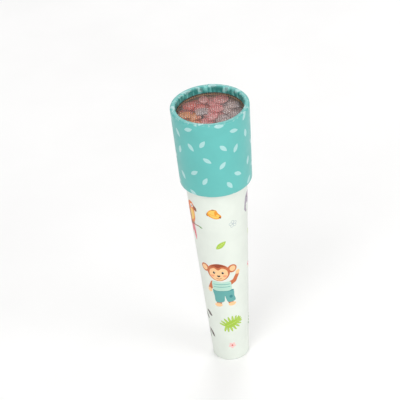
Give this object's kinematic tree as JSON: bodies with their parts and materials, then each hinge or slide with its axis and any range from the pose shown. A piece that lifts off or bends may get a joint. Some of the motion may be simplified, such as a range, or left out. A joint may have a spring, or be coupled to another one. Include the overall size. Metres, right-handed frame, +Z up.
{
  "type": "kaleidoscope",
  "caption": "Tapered card-tube toy kaleidoscope with a wider turning head, a mirror prism inside, a gridded end window and loose coloured chips.",
  "frame": {"origin": "centre of the eye end's flat face, on which the toy stands", "axes": "+Z up the axis from the eyepiece to the window, -Y towards the front of the print"},
  "size_m": [0.055, 0.0548, 0.215],
  "materials": {
    "greyboard": "matte",
    "mint_paper": "satin",
    "teal_paper": "satin",
    "mint_plastic": "satin",
    "clear_sheet": "gloss",
    "grid_sheet": "gloss",
    "brown_card": "satin",
    "black_card": "matte",
    "paper_tape": "matte",
    "foam": "matte",
    "mirror_strip": "polished",
    "orange_chip": "gloss",
    "pink_chip": "gloss",
    "red_chip": "gloss",
    "violet_chip": "gloss",
    "clear_bead": "gloss",
    "gold_rod": "gloss"
  },
  "bodies": {
    "tube": {"tube_core": "greyboard", "tube_wrap": "mint_paper", "eyepiece_cap": "mint_plastic", "eyepiece_window": "clear_sheet", "eyepiece_retainer": "greyboard", "neck_sleeve": "greyboard", "neck_stop_ring": "greyboard", "mirror_rear": "mirror_strip", "mirror_left": "mirror_strip", "mirror_right": "mirror_strip", "mirror_tape_lower": "paper_tape", "mirror_tape_upper": "paper_tape", "mirror_pads_lower": "foam", "mirror_pads_upper": "foam", "mirror_mask": "black_card"},
    "head": {"head_shell": "greyboard", "head_wrap": "teal_paper", "head_collar": "greyboard", "head_liner": "greyboard", "rim_ring": "greyboard", "chamber_floor": "clear_sheet", "chamber_ring": "brown_card", "chamber_window": "grid_sheet"},
    "lower_flakes": {"lower_flakes_orange": "orange_chip", "lower_flakes_pink": "pink_chip", "lower_flakes_red": "red_chip", "lower_flakes_violet": "violet_chip"},
    "middle_flakes": {"middle_flakes_orange": "orange_chip", "middle_flakes_pink": "pink_chip", "middle_flakes_red": "red_chip", "middle_flakes_violet": "violet_chip"},
    "upper_flakes": {"upper_flakes_orange": "orange_chip", "upper_flakes_pink": "pink_chip", "upper_flakes_red": "red_chip", "upper_flakes_violet": "violet_chip"},
    "beads": {"beads_red": "red_chip", "beads_clear": "clear_bead", "rods_gold": "gold_rod"}
  },
  "joints": [
    {"name": "head_turn", "type": "hinge", "parent": "tube", "child": "head", "pos_m": [0, 0, 0.1624], "axis": [0, 0, 1], "continuous": true},
    {"name": "beads_swirl", "type": "hinge", "parent": "head", "child": "beads", "pos_m": [0, 0, 0.2022], "axis": [0, 0, 1], "continuous": true},
    {"name": "lower_flakes_swirl", "type": "hinge", "parent": "head", "child": "lower_flakes", "pos_m": [0, 0, 0.2044], "axis": [0, 0, 1], "continuous": true},
    {"name": "middle_flakes_swirl", "type": "hinge", "parent": "head", "child": "middle_flakes", "pos_m": [0, 0, 0.2062], "axis": [0, 0, 1], "continuous": true},
    {"name": "upper_flakes_swirl", "type": "hinge", "parent": "head", "child": "upper_flakes", "pos_m": [0, 0, 0.208], "axis": [0, 0, 1], "continuous": true}
  ]
}
